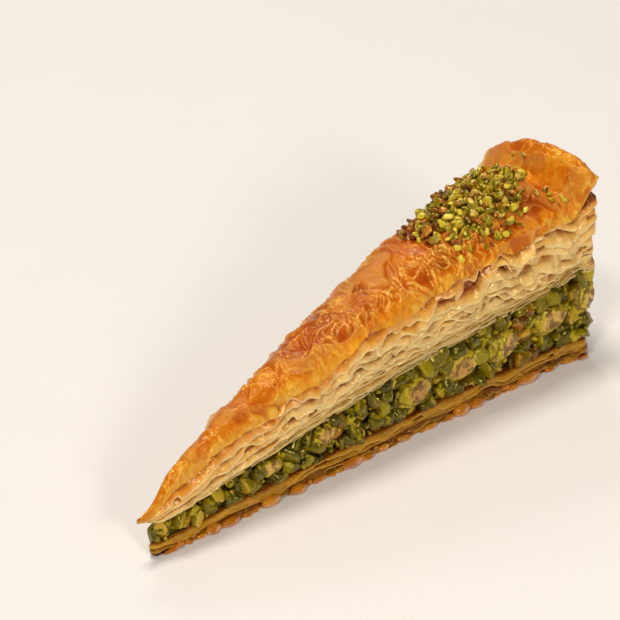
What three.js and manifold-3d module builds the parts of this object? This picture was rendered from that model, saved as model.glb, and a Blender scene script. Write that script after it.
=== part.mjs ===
// A carrot slice of pistachio baklava: a long wedge cut from a round tray.
// It has a thin syrup-soaked lower pastry, a layer of chopped pistachio with whole kernels
// set in its cut faces, a tall flaky upper pastry that swells towards the rim of the tray,
// and a heap of ground pistachio on top.
// Millimetres, +Z up. The tip points along -X and the rim of the tray is at +X.
import * as THREE from "three";
import { mergeVertices } from "three/addons/utils/BufferGeometryUtils.js";
import Module from "manifold-3d";

const wasm = await Module();
wasm.setup();

// Driving dimensions.
const LENGTH = 157; // from the point of the wedge to the middle of the rim end
const END_HALF_WIDTH = 17.8; // half the width of the slice at its rim end
const TIP_RADIUS = 2.2; // the blunt tip
const CORNER_RADIUS = 4.5; // the two rim corners
const RIM_BULGE = 2.4; // how far the middle of the rim end stands past its corners
const FLARE = 3.4; // the pleated rim end is this much wider on each side
const FLARE_LENGTH = 12;
const SEAT_GAP = 0.3; // clearance between one layer and the next

const LOWER_TIP = 4.1; // thickness of the lower pastry at the tip
const LOWER_END = 6.2;
const LOWER_BELLY = 1.4; // extra thickness halfway along

const FILLING_TIP = 8.8; // height of the top of the filling at the tip
const FILLING_RISE = 18.8;
const FILLING_BELLY = 2.6;
const FILLING_END_RISE = 2.0; // the filling lifts again at the rim

const CREST_TIP = 19.9; // height of the crest, a parabola along the slice
const CREST_SLOPE = 66;
const CREST_SAG = 29;
const SHOULDER_DROP = 5.2; // how far the top falls from its crest to its long edges
const RIM_RISE = 7.5; // the swollen lip along the rim end
const RIM_LIP_LENGTH = 12;
const RIM_CREASE = 1.6; // the crease between the lip and the rest of the top

const UPPER_TIERS = 7; // groups of leaves that show in the cut faces of the upper pastry
const LOWER_TIERS = 3;

const NOSE_OVERHANG = 3.4; // the upper pastry reaches this far past the filling at the tip
const NOSE_HEIGHT = 14.6; // height of the top of the slice at that point
const NOSE_LENGTH = 11;
const NOSE_LIFT = 4.0; // how far its underside curls up

const GARNISH_CENTRE = [124.5, 1];
const GARNISH_HALF = [20.5, 16.5];
const GARNISH_HEIGHT = 4.4;
const GARNISH_CLEAR_EDGE = 0.9; // the heap keeps this share of the slice's half width

const KERNEL_LENGTH = 11.4;
const KERNEL_PLUMPNESS = 0.37; // half its width as a share of its length
const POCKET_MARGIN = 0.34; // the pocket that a kernel sits in is this much larger all round

// Points along each stretch of half an outline: tip, long side, rim corner, rim end.
const STRETCH_POINTS = [3, 22, 6, 6];

const clamp01 = (v) => Math.min(1, Math.max(0, v));
const smooth = (v) => THREE.MathUtils.smoothstep(v, 0, 1);
const mix = THREE.MathUtils.lerp;

// Smooth unevenness without repeats at this scale: sines of unrelated lengths, from -1 to 1.
function uneven(a, b, seed) {
  return (
    (Math.sin(a * 1.7 + seed * 2.3 + Math.sin(b * 1.3 + seed)) +
      Math.sin(a * 3.1 - b * 2.1 + seed * 5.1) +
      Math.sin(b * 4.3 + a * 0.9 - seed * 3.7)) /
    3
  );
}

// Heights along the slice. Every one takes the distance x from the point of the wedge.
const share = (x) => clamp01(x / LENGTH);
const bellyAt = (x) => Math.sin(Math.PI * share(x));
const lowerTop = (x) =>
  mix(LOWER_TIP, LOWER_END, share(x)) + LOWER_BELLY * bellyAt(x);
const fillingTop = (x) =>
  FILLING_TIP +
  FILLING_RISE * share(x) +
  FILLING_BELLY * bellyAt(x) +
  FILLING_END_RISE * smooth((share(x) - 0.87) / 0.13);

function upperUnderside(x) {
  const curl = clamp01((NOSE_LENGTH - NOSE_OVERHANG - x) / NOSE_LENGTH);
  return fillingTop(x) + NOSE_LIFT * curl * curl;
}

function crest(x) {
  const t = share(x);
  const body = CREST_TIP + CREST_SLOPE * t - CREST_SAG * t * t;
  const along = clamp01((x + NOSE_OVERHANG) / NOSE_LENGTH);
  return mix(NOSE_HEIGHT, body, smooth(along));
}

// The swollen lip: a crease, then a dome that is highest in the middle of the rim end.
function lipAt(x, across) {
  const toEnd = (x - (LENGTH - RIM_LIP_LENGTH)) / RIM_LIP_LENGTH;
  const crease = Math.exp(-(((toEnd + 0.05) * 3) ** 2));
  const dome = smooth(toEnd * 1.6) * (1 - 0.35 * across * across);
  return RIM_RISE * dome - RIM_CREASE * crease;
}

// Height of the top of the slice. across runs from 0 at the middle to 1 at a long edge.
function topHeight(x, y, across) {
  const narrow = 0.45 + 0.55 * share(x);
  const fall = SHOULDER_DROP * narrow * across ** 3;
  const blisters = 0.7 * uneven(x * 0.28, y * 0.31, 4) * clamp01(x / 12);
  return crest(x) - fall + lipAt(x, across) + blisters;
}

// Half an outline, from the tip along the near side to the middle of the rim end.
function halfOutline(tipX, tipRadius) {
  const cornerX = LENGTH - RIM_BULGE;
  const corner = CORNER_RADIUS;
  const path = new THREE.Path();
  path.moveTo(tipX, 0);
  path.quadraticCurveTo(tipX, -tipRadius, tipX + 2 * tipRadius, -tipRadius);
  path.lineTo(cornerX - corner, -END_HALF_WIDTH + corner * 0.12);
  path.quadraticCurveTo(
    cornerX - corner * 0.1,
    -END_HALF_WIDTH,
    cornerX + RIM_BULGE * 0.35,
    -END_HALF_WIDTH + corner,
  );
  path.quadraticCurveTo(LENGTH, -END_HALF_WIDTH * 0.3, LENGTH, 0);
  const stretches = path.curves.map((curve, i) =>
    curve.getSpacedPoints(STRETCH_POINTS[i]).slice(1),
  );
  return [new THREE.Vector2(tipX, 0), ...stretches.flat()];
}

// A closed outline as stations: where each is, which way is out, and the point on the
// middle line that the surface runs to from there.
function stationsOf(tipX, tipRadius) {
  const near = halfOutline(tipX, tipRadius);
  const far = near.slice(1, -1).reverse();
  const points = [...near, ...far.map((p) => new THREE.Vector2(p.x, -p.y))];
  const spineStart = tipX + 2 * tipRadius;
  const spineEnd = LENGTH - END_HALF_WIDTH * 0.8;
  return points.map((p, i) => {
    const before = points.at(i - 1);
    const after = points[(i + 1) % points.length];
    const out = new THREE.Vector2(after.y - before.y, before.x - after.x);
    out.normalize();
    const flare = FLARE * smooth((p.x - LENGTH + FLARE_LENGTH) / FLARE_LENGTH);
    const x = p.x;
    const y = p.y + out.y * flare;
    const atEnd = smooth((p.x - (LENGTH - 9)) / 5);
    const spineX = Math.min(spineEnd, Math.max(spineStart, p.x));
    return { x, y, out, spineX, atEnd };
  });
}

// One closed surface from a list of rings, each a list of points in the same order.
// The first and last rings have closed up onto the middle line, where their points pair.
function solidFromRings(rings) {
  const count = rings[0].length;
  const corners = [];
  const push = (a, b, c) => corners.push(...a, ...b, ...c);
  for (let r = 0; r + 1 < rings.length; r++) {
    for (let i = 0; i < count; i++) {
      const j = (i + 1) % count;
      push(rings[r][i], rings[r][j], rings[r + 1][j]);
      push(rings[r][i], rings[r + 1][j], rings[r + 1][i]);
    }
  }
  return manifoldOf(new Float32Array(corners));
}

// Triangle corners as a solid: corners that meet are merged, and flat slivers dropped.
function manifoldOf(corners) {
  const loose = new THREE.BufferGeometry();
  loose.setAttribute("position", new THREE.BufferAttribute(corners, 3));
  const merged = mergeVertices(loose, 1e-4);
  const index = merged.index.array;
  const kept = [];
  for (let i = 0; i < index.length; i += 3) {
    const [a, b, c] = index.subarray(i, i + 3);
    if (a !== b && b !== c && c !== a) kept.push(a, b, c);
  }
  return new wasm.Manifold(
    new wasm.Mesh({
      numProp: 3,
      vertProperties: merged.attributes.position.array,
      triVerts: new Uint32Array(kept),
    }),
  );
}

function ringAt(stations, offsetAt, heightAt) {
  return stations.map((s, i) => {
    const offset = offsetAt(s, i);
    const x = s.x + s.out.x * offset;
    const y = s.y + s.out.y * offset;
    return [x, y, heightAt(s, x, y)];
  });
}

// A ring that lies part of the way from the outline to the middle line.
function innerRing(stations, towards, heightAt) {
  return stations.map((s) => {
    const x = mix(s.x, s.spineX, towards);
    const y = mix(s.y, 0, towards);
    return [x, y, heightAt(s, x, y, 1 - towards)];
  });
}

// How a leaf's hem stands out from the cut face: shallow waves on the long sides, and
// deep rounded scallops round the rim end.
function hemOut(s, tier, depth) {
  const waves = depth * uneven(s.x * 0.33, s.y * 0.4 + tier * 2.2, tier);
  const scallop = Math.abs(Math.sin(s.y * 0.42 + tier * 1.9));
  return waves + s.atEnd * (1.5 * scallop - 0.4);
}

// A stack of pastry leaves between two heights. Each leaf has a hem that stands out and
// a groove above it where the next leaf starts.
function leafRings(stations, bottomAt, topAt, tiers, depth, seed) {
  const rings = [];
  for (let tier = 0; tier < tiers; tier++) {
    const hem = (tier + 0.12) / tiers;
    const groove = (tier + 0.86) / tiers;
    const heightOf = (level) => (s, x, y) => {
      const wave = uneven(x * 0.3, y * 0.5, seed + tier) * depth * 0.35;
      const calm = 4 * level * (1 - level);
      return mix(bottomAt(x), topAt(x, s), level) + wave * calm;
    };
    rings.push(
      ringAt(stations, (s) => hemOut(s, tier + seed, depth), heightOf(hem)),
      ringAt(stations, (s) => -depth + s.atEnd * 0.5, heightOf(groove)),
    );
  }
  return rings;
}

function lowerPastry() {
  const stations = stationsOf(-1, TIP_RADIUS);
  const flat = () => 0;
  const top = (s, x) => lowerTop(x);
  return solidFromRings([
    innerRing(stations, 1, flat),
    innerRing(stations, 0.4, flat),
    ringAt(stations, () => -0.6, flat),
    ...leafRings(stations, flat, lowerTop, LOWER_TIERS, 0.45, 1),
    ringAt(stations, () => -0.7, top),
    innerRing(stations, 0.5, top),
    innerRing(stations, 1, top),
  ]);
}

// The filling before its kernels are set in: lumpy cut faces of packed chopped nuts.
function fillingBlock() {
  const stations = stationsOf(-0.4, TIP_RADIUS * 0.9);
  const bottom = (s, x) => lowerTop(x) + SEAT_GAP;
  const top = (s, x) => fillingTop(x) - SEAT_GAP;
  const levels = [0.05, 0.27, 0.5, 0.73, 0.96];
  const faces = levels.map((level, k) =>
    ringAt(
      stations,
      (s, i) => -0.9 + 0.85 * uneven(i * 1.9, k * 2.7, 2 + k),
      (s, x) => mix(bottom(s, x), top(s, x), level),
    ),
  );
  return solidFromRings([
    innerRing(stations, 1, bottom),
    innerRing(stations, 0.45, bottom),
    ringAt(stations, () => -1.6, bottom),
    ...faces,
    ringAt(stations, () => -1.6, top),
    innerRing(stations, 0.5, top),
    innerRing(stations, 1, top),
  ]);
}

function upperPastry() {
  const stations = stationsOf(-NOSE_OVERHANG - 1.8, TIP_RADIUS * 0.8);
  const underside = (s, x) => upperUnderside(x);
  // The leaves end under the hem of the crust, a little below the edge of the top.
  const crustHem = (x, s) =>
    Math.max(
      upperUnderside(x) + 0.8,
      topHeight(x, s.y, 1) - 1.6 * smooth(share(x) * 4),
    );
  const crownAt = (s, x, y, across) => topHeight(x, y, across);
  return solidFromRings([
    innerRing(stations, 1, underside),
    innerRing(stations, 0.5, underside),
    ringAt(stations, () => -1.2, underside),
    ...leafRings(stations, upperUnderside, crustHem, UPPER_TIERS, 0.7, 5),
    ringAt(
      stations,
      (s) => 0.5 + hemOut(s, 3, 0.6),
      (s, x) => crustHem(x, s) + 0.2,
    ),
    innerRing(stations, 0.1, crownAt),
    innerRing(stations, 0.25, crownAt),
    innerRing(stations, 0.45, crownAt),
    innerRing(stations, 0.72, crownAt),
    innerRing(stations, 1, crownAt),
  ]);
}

// The heap of ground pistachio: a lumpy mound whose foot follows the top of the slice.
function garnishHeap(upper) {
  const around = 30;
  const shares = [1, 0.97, 0.8, 0.55, 0.28];
  const halfWidthAt = (x) => END_HALF_WIDTH * share(x) * GARNISH_CLEAR_EDGE;
  const pointAt = (i, radius) => {
    const angle = (i / around) * Math.PI * 2;
    const wobble = 1 + 0.13 * uneven(angle * 3, 0.5, 3);
    const x = GARNISH_CENTRE[0] + Math.cos(angle) * GARNISH_HALF[0] * radius * wobble;
    const wide = GARNISH_CENTRE[1] + Math.sin(angle) * GARNISH_HALF[1] * radius * wobble;
    const y = THREE.MathUtils.clamp(wide, -halfWidthAt(x), halfWidthAt(x));
    return [x, y];
  };
  const ring = (radius, liftAt) =>
    Array.from({ length: around }, (_, i) => {
      const [x, y] = pointAt(i, radius);
      const across = clamp01(Math.abs(y) / (END_HALF_WIDTH * share(x)));
      return [x, y, topHeight(x, y, across) + liftAt(x, y)];
    });
  const heapAt = (radius) => (x, y) =>
    0.9 +
    GARNISH_HEIGHT * (1 - radius * radius) +
    0.5 * uneven(x * 0.8, y * 0.9, 7) * (1 - radius);
  const centre = (lift) => ring(0, () => lift);
  const sunk = -3;
  const mound = solidFromRings([
    centre(sunk),
    ring(1, () => sunk),
    ...shares.map((radius) => ring(radius, heapAt(radius))),
    centre(GARNISH_HEIGHT),
  ]);
  return largestOf(mound.subtract(upper.translate([0, 0, SEAT_GAP])));
}

function largestOf(solid) {
  const pieces = solid.decompose();
  return pieces.reduce((a, b) => (a.volume() > b.volume() ? a : b));
}

// Whole kernels that show in the cut faces: where each one lies along the slice, its
// height as a share of the filling, its length, and how it is turned.
const KERNELS = [
  { name: "kernel_near_1", x: 89.5, side: -1, level: 0.5, size: 1.0, pitch: 0.42, yaw: 0.1 },
  { name: "kernel_near_2", x: 106, side: -1, level: 0.52, size: 0.96, pitch: 0.3, yaw: -0.15 },
  { name: "kernel_near_3", x: 121.5, side: -1, level: 0.5, size: 0.98, pitch: 0.38, yaw: 0.2 },
  { name: "kernel_near_4", x: 139.5, side: -1, level: 0.55, size: 1.04, pitch: 0.25, yaw: 0 },
  { name: "kernel_near_5", x: 152, side: -1, level: 0.68, size: 0.9, pitch: 1.15, yaw: 0.25 },
  { name: "kernel_near_6", x: 57, side: -1, level: 0.7, size: 0.66, pitch: 0.5, yaw: 0.1 },
  { name: "kernel_near_7", x: 39, side: -1, level: 0.55, size: 0.6, pitch: 0.2, yaw: -0.1 },
  { name: "kernel_far_1", x: 62, side: 1, level: 0.5, size: 0.78, pitch: -0.3, yaw: 0.1 },
  { name: "kernel_far_2", x: 92, side: 1, level: 0.45, size: 0.98, pitch: 0.2, yaw: -0.2 },
  { name: "kernel_far_3", x: 116, side: 1, level: 0.6, size: 0.94, pitch: -0.45, yaw: 0.1 },
  { name: "kernel_far_4", x: 140, side: 1, level: 0.42, size: 1.02, pitch: 0.15, yaw: 0 },
];

// A kernel is a plump almond shape, turned about its long axis and a little flattened.
// margin swells it all round, for the pocket that it sits in.
function kernelGeometry(length, margin) {
  const steps = 7;
  const halfLength = length / 2 + margin;
  const halfWidth = length * KERNEL_PLUMPNESS + margin;
  const profile = [];
  for (let i = 0; i <= steps; i++) {
    const angle = (i / steps) * Math.PI;
    const blunt = 1 + 0.14 * Math.cos(angle);
    const radius = i % steps ? halfWidth * Math.sin(angle) * blunt : 0;
    profile.push(new THREE.Vector2(radius, -halfLength * Math.cos(angle)));
  }
  const shape = new THREE.LatheGeometry(profile, 10);
  shape.rotateZ(-Math.PI / 2);
  return shape.scale(1, 1, 0.9);
}

// The half width of the slice at x, measured to its cut face.
const faceAt = (x) => END_HALF_WIDTH * share(x);

function kernelSolid(kernel, margin) {
  const { x, side, level, size, pitch, yaw } = kernel;
  const length = KERNEL_LENGTH * size;
  const grown = kernelGeometry(length, margin);
  const thick = length * KERNEL_PLUMPNESS;
  const z = mix(lowerTop(x) + thick, fillingTop(x) - thick, level);
  const sideTurn = side * Math.atan(END_HALF_WIDTH / LENGTH);
  const y = side * (faceAt(x) - thick * 0.5);
  const turn = new THREE.Euler(0, -pitch, sideTurn + yaw, "ZYX");
  const place = new THREE.Matrix4().makeRotationFromEuler(turn);
  place.setPosition(x, y, z);
  grown.applyMatrix4(place);
  const flat = grown.toNonIndexed();
  return manifoldOf(flat.attributes.position.array);
}

// A solid as a three.js geometry, with the lighting normals of flat facets.
function geometryOf(solid) {
  const mesh = solid.getMesh();
  const stride = mesh.numProp;
  const positions = new Float32Array(mesh.numVert * 3);
  for (let i = 0; i < mesh.numVert; i++) {
    const start = i * stride;
    positions.set(mesh.vertProperties.subarray(start, start + 3), i * 3);
  }
  const geometry = new THREE.BufferGeometry();
  geometry.setAttribute("position", new THREE.BufferAttribute(positions, 3));
  geometry.setIndex(new THREE.BufferAttribute(mesh.triVerts, 1));
  const facets = geometry.toNonIndexed();
  facets.computeVertexNormals();
  return facets;
}

const finish = (color, roughness) =>
  new THREE.MeshStandardMaterial({ color, roughness, metalness: 0 });
const materials = {
  lower: finish("#a8722f", 0.35),
  filling: finish("#6b5c1c", 0.4),
  kernel: finish("#a8843c", 0.4),
  upper: finish("#dfa75a", 0.4),
  garnish: finish("#a08a2a", 0.7),
};

const slice = new THREE.Group();

function addPiece(name, solid, material) {
  const mesh = new THREE.Mesh(geometryOf(solid), material);
  mesh.name = name;
  slice.add(mesh);
}

const upper = upperPastry();
const kernels = KERNELS.map((kernel) => kernelSolid(kernel, 0));
const pockets = KERNELS.map((kernel) => kernelSolid(kernel, POCKET_MARGIN));
const filling = pockets.reduce((block, pocket) => block.subtract(pocket), fillingBlock());

addPiece("lower_pastry", lowerPastry(), materials.lower);
addPiece("pistachio_filling", largestOf(filling), materials.filling);
KERNELS.forEach((kernel, i) => addPiece(kernel.name, kernels[i], materials.kernel));
addPiece("upper_pastry", upper, materials.upper);
addPiece("pistachio_garnish", garnishHeap(upper), materials.garnish);

// The slice stands on its flat base, with the origin under the middle of its outer box.
const box = new THREE.Box3().setFromObject(slice);
const middle = box.getCenter(new THREE.Vector3());
slice.position.set(-middle.x, -middle.y, -box.min.z);

export default slice;
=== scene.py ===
"""Looks of a carrot-cut slice of pistachio baklava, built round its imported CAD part.

Lengths are in millimetres in the slice's own measure: x runs from the point of the wedge
to its rim, the near cut face is on the -Y side, and z is up from the plate. row_points()
turns them into metres in the row frame.
"""

import math
from types import SimpleNamespace

import bmesh
import bpy
import numpy as np
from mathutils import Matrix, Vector


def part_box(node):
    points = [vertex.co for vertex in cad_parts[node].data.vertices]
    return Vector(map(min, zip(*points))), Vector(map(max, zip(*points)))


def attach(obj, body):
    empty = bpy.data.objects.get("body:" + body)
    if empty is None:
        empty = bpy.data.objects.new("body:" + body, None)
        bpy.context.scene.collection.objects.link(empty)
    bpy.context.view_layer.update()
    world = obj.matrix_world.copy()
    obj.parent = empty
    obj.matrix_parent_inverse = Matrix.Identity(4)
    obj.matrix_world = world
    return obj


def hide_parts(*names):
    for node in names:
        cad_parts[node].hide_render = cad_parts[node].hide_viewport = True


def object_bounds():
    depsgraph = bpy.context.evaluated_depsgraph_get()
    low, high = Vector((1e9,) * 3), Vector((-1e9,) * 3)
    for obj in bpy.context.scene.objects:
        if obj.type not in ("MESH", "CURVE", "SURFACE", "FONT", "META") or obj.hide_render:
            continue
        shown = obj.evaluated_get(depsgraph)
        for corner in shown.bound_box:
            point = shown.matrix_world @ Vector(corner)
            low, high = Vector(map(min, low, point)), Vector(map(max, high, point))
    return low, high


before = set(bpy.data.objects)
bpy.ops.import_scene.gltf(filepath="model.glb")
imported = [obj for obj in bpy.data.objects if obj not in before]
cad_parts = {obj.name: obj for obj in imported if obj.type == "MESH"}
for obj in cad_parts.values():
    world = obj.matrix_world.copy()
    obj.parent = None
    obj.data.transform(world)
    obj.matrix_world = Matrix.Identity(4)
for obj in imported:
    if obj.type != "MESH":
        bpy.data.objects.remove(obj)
cad_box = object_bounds()

# The slice's own dimensions, the same as those of its solids.
NOSE_REACH = 5.83  # the nose of the upper pastry reaches this far past the wedge's point
LENGTH = 157.0
END_HALF_WIDTH = 17.8
TIP_RADIUS = 2.2
CORNER_RADIUS = 4.5
RIM_BULGE = 2.4
FLARE = 3.4
FLARE_LENGTH = 12.0
LOWER_TIP, LOWER_END, LOWER_BELLY = 4.1, 6.2, 1.4
FILLING_TIP, FILLING_RISE, FILLING_BELLY, FILLING_END_RISE = 8.8, 18.8, 2.6, 2.0
CREST_TIP, CREST_SLOPE, CREST_SAG = 19.9, 66.0, 29.0
SHOULDER_DROP = 5.2
RIM_RISE, RIM_LIP_LENGTH, RIM_CREASE = 7.5, 12.0, 1.6
NOSE_OVERHANG, NOSE_HEIGHT, NOSE_LENGTH, NOSE_LIFT = 3.4, 14.6, 11.0, 4.0
GARNISH_CENTRE = (124.5, 1.0)
GARNISH_HALF = (20.5, 16.5)

# How finely the pastry is modelled: the gap between stations, and the number of rings.
LEAF_SPACING = 0.42
CRUST_SPACING = 0.36
SKIRT_RINGS = 9  # down the part of the crust that hangs over the leaves
TOP_RINGS = 53  # from the crust's edge to its middle line
PRESSED_LEAVES = 8  # tightly pressed leaves just above the filling
LOOSE_LEAVES = 7  # broad ruffled leaves from there up to the crust

# Syrup along the foot: how far along the near side each large drop is, and the small beads.
LARGE_DROPS = (18, 24, 37, 47, 66, 106, 112, 131)
SMALL_DROPS = 210

# Where the camera stands, in degrees and metres, and the point of the slice's measure it faces.
AZIMUTH = math.radians(-46.12)
ELEVATION = math.radians(31.3)
CAMERA_TARGET = (116.5, 55.76, 0.0)
CAMERA_DISTANCE = 0.8687
HALF_VIEW = math.radians(6)

FLOOR_REACH = 3.0  # metres
LAMP_TINT = "fffaf4"

# Colours as each material's mask, tone or tint, goes from 0 to 1.
PASTRY = [(0.0, "a07c28"), (0.25, "d2a040"), (0.5, "fad080"), (0.75, "fab848"), (1.0, "f0941c")]
SOAKED = [(0.0, "5e2e00"), (0.3, "864a02"), (0.6, "b0760e"), (1.0, "ca9222")]
MOIST_FLESH = [(0.0, "6e6004"), (0.35, "9c8a06"), (0.7, "c2a414"), (0.88, "d0a430"), (1.0, "a25410")]
MOIST_SKIN = [(0.0, "241e00"), (0.4, "4c4200"), (0.8, "766600"), (1.0, "5c2804")]
KERNEL_FLESH = [(0.0, "e0b05c"), (0.5, "cc9650"), (1.0, "b47c40")]
KERNEL_SKIN = [(0.0, "b8a418"), (0.6, "dcc02c"), (1.0, "b09a1c")]
GROUND_FLESH = [
    (0.0, "8c7a10"),
    (0.3, "c0a61a"),
    (0.6, "ecd040"),
    (0.76, "f4d468"),
    (0.86, "cc7a20"),
    (1.0, "924e28"),
]
GROUND_SKIN = [(0.0, "4c400a"), (0.45, "827012"), (0.75, "9c8626"), (0.88, "9a5418"), (1.0, "582a16")]

ROW_X = cad_box[0].x * 1000 + NOSE_REACH


def row_points(points):
    """Millimetres in the slice's own measure to metres in the row frame."""
    return (np.asarray(points) + [ROW_X, 0, 0]) / 1000


# ---------------------------------------------------------------- numbers and noise


def clamp01(value):
    return np.clip(value, 0.0, 1.0)


def smooth(value):
    t = clamp01(value)
    return t * t * (3 - 2 * t)


def mix(a, b, t):
    return a + (b - a) * t


EDGES = [(1, 1, 0), (-1, 1, 0), (1, -1, 0), (-1, -1, 0), (1, 0, 1), (-1, 0, 1)]
EDGES += [(1, 0, -1), (-1, 0, -1), (0, 1, 1), (0, -1, 1), (0, 1, -1), (0, -1, -1)]
GRADIENTS = np.array(EDGES + EDGES[:4], float)
SHUFFLED = np.random.default_rng(1).permutation(4096)


def noise(points, size, seed):
    """Smooth noise, about -1 to 1, whose lumps are about size across."""
    scaled = np.asarray(points, float) / size
    cell = np.floor(scaled).astype(np.int64)
    inside = scaled - cell
    fade = inside**3 * (inside * (inside * 6 - 15) + 10)
    total = np.zeros(scaled.shape[:-1])
    for corner in np.ndindex(2, 2, 2):
        at = cell + corner
        pick = np.full(scaled.shape[:-1], seed)
        for axis in range(3):
            pick = SHUFFLED[(at[..., axis] + pick) & 4095]
        slope = np.sum(GRADIENTS[pick & 15] * (inside - corner), axis=-1)
        weight = np.prod(np.where(corner, fade, 1 - fade), axis=-1)
        total += slope * weight
    return total * 1.5


def ridges(points, size, seed, sharpness):
    """Thin raised lines between about 0 and 1 where the noise passes through nothing."""
    return clamp01(1 - np.abs(noise(points, size, seed)) * 1.6) ** sharpness


def stack_xyz(*parts):
    return np.stack(np.broadcast_arrays(*parts), axis=-1)


# ---------------------------------------------------------------- heights of the slice


def share(x):
    return clamp01(x / LENGTH)


def lower_top(x):
    t = share(x)
    return mix(LOWER_TIP, LOWER_END, t) + LOWER_BELLY * np.sin(np.pi * t)


def filling_top(x):
    t = share(x)
    end_rise = FILLING_END_RISE * smooth((t - 0.87) / 0.13)
    return FILLING_TIP + FILLING_RISE * t + FILLING_BELLY * np.sin(np.pi * t) + end_rise


def upper_underside(x):
    curl = clamp01((NOSE_LENGTH - NOSE_OVERHANG - x) / NOSE_LENGTH)
    return filling_top(x) + NOSE_LIFT * curl * curl


def crest(x):
    t = share(x)
    body = CREST_TIP + CREST_SLOPE * t - CREST_SAG * t * t
    return mix(NOSE_HEIGHT, body, smooth((x + NOSE_OVERHANG) / NOSE_LENGTH))


def lip(x, across, y):
    """The swollen lip along the rim, behind its crease, lower towards the far side."""
    to_end = (x - (LENGTH - RIM_LIP_LENGTH)) / RIM_LIP_LENGTH
    crease = np.exp(-(((to_end + 0.05) * 3) ** 2))
    dome = smooth(to_end * 1.6) * (1.22 - 0.5 * across * across - 0.6 * smooth((y - 3) / 13))
    rounded = 1.6 * clamp01((to_end - 0.62) / 0.38) ** 2
    return RIM_RISE * dome - RIM_CREASE * crease - rounded


def top_height(x, across, y):
    """The top skin, thinning to a pointed flap at the nose."""
    narrow = 0.45 + 0.55 * share(x)
    body = crest(x) - SHOULDER_DROP * narrow * across**3 + lip(x, across, y)
    return mix(upper_underside(x) + 0.3, body, smooth((x + NOSE_REACH) / 3.6))


def near_rim_corner(x, y):
    """1 at the near corner of the rim, where the top skin has lifted, and 0 elsewhere."""
    return smooth((x - 143) / 8) * smooth((-y - 8) / 7)


# ---------------------------------------------------------------- the outline


def bend(a, b, c, count):
    t = np.linspace(0, 1, count)[:, None]
    a, b, c = (np.array(p, float) for p in (a, b, c))
    return (1 - t) ** 2 * a + 2 * t * (1 - t) * b + t * t * c


def half_outline(tip_x, tip_radius):
    """From the tip along the near side to the middle of the rim end."""
    corner_x = LENGTH - RIM_BULGE
    half, corner = END_HALF_WIDTH, CORNER_RADIUS
    side_start = (tip_x + 2 * tip_radius, -tip_radius)
    side_end = (corner_x - corner, -half + corner * 0.12)
    rim_start = (corner_x + RIM_BULGE * 0.35, -half + corner)
    return np.vstack(
        [
            bend((tip_x, 0), (tip_x, -tip_radius), side_start, 20),
            np.linspace(side_start, side_end, 50)[1:],
            bend(side_end, (corner_x - corner * 0.1, -half), rim_start, 20)[1:],
            bend(rim_start, (LENGTH, -half * 0.3), (LENGTH, 0), 20)[1:],
        ]
    )


def evenly(path, spacing):
    steps = np.hypot(*np.diff(path, axis=0).T)
    along = np.concatenate([[0], np.cumsum(steps)])
    even = np.linspace(0, along[-1], int(along[-1] / spacing))
    return np.column_stack([np.interp(even, along, path[:, k]) for k in (0, 1)])


def outline(tip_x, tip_radius, spacing):
    """Stations all round the slice, with the way out at each and its way to the middle."""
    near = evenly(half_outline(tip_x, tip_radius), spacing)
    points = np.vstack([near, near[-2:0:-1] * [1, -1]])
    ahead = np.roll(points, -1, axis=0) - np.roll(points, 1, axis=0)
    out = ahead[:, ::-1] * [1, -1]
    out /= np.linalg.norm(out, axis=1)[:, None]
    x = points[:, 0]
    flare = FLARE * smooth((x - LENGTH + FLARE_LENGTH) / FLARE_LENGTH)
    spine_end = LENGTH - END_HALF_WIDTH * 0.8
    return SimpleNamespace(
        x=x,
        y=points[:, 1] + out[:, 1] * flare,
        out=out,
        end=smooth((x - (LENGTH - 9)) / 5),
        spine=np.clip(x, tip_x + 2 * tip_radius, spine_end),
    )


def ring(stations, offset, height):
    """A ring this far out from the outline, which stays on its own side of the middle."""
    offset = np.maximum(offset, -0.8 * np.abs(stations.y))
    x = stations.x + stations.out[:, 0] * offset
    y = stations.y + stations.out[:, 1] * offset
    return stack_xyz(x, y, height)


def inner_ring(stations, towards, height_at):
    x = mix(stations.x, stations.spine, towards)
    y = mix(stations.y, 0, towards)
    return stack_xyz(x, y, height_at(x))


# ---------------------------------------------------------------- mesh building


def loop_faces(rings, count):
    """Faces that join each ring of points to the next, all the way round."""
    i = np.arange(count)
    j = (i + 1) % count
    first = np.arange(rings - 1)[:, None] * count
    corners = [first + i, first + j, first + count + j, first + count + i]
    return np.stack(corners, axis=-1).reshape(-1, 4)


def make_piece(name, points, faces, material, masks, weld=False):
    """A mesh object on the slice. masks are numbers at each point for its material."""
    mesh = bpy.data.meshes.new(name)
    mesh.from_pydata(row_points(points).tolist(), [], faces.tolist())
    for key, values in masks.items():
        layer = mesh.attributes.new(key, "FLOAT", "POINT")
        layer.data.foreach_set("value", np.ravel(values).astype(np.float32))
    if weld:
        work = bmesh.new()
        work.from_mesh(mesh)
        bmesh.ops.remove_doubles(work, verts=work.verts, dist=2e-7)
        work.to_mesh(mesh)
        work.free()
    mesh.polygons.foreach_set("use_smooth", np.ones(len(mesh.polygons), bool))
    mesh.materials.append(material)
    mesh.update()
    piece = bpy.data.objects.new(name, mesh)
    bpy.context.scene.collection.objects.link(piece)
    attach(piece, "root")
    return piece


def piece_of_rings(name, rings, material, masks):
    """A piece from rings of points, welded where they fold onto the middle line."""
    rings = np.stack(rings)
    faces = loop_faces(*rings.shape[:2])
    flat = {key: np.stack(values) for key, values in masks.items()}
    return make_piece(name, rings.reshape(-1, 3), faces, material, flat, weld=True)


# ---------------------------------------------------------------- materials


def colour(code):
    """A colour such as e0a050 as the renderer's linear values."""
    values = [int(code[i : i + 2], 16) / 255 for i in (0, 2, 4)]
    return [v / 12.92 if v <= 0.04045 else ((v + 0.055) / 1.055) ** 2.4 for v in values] + [1]


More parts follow.
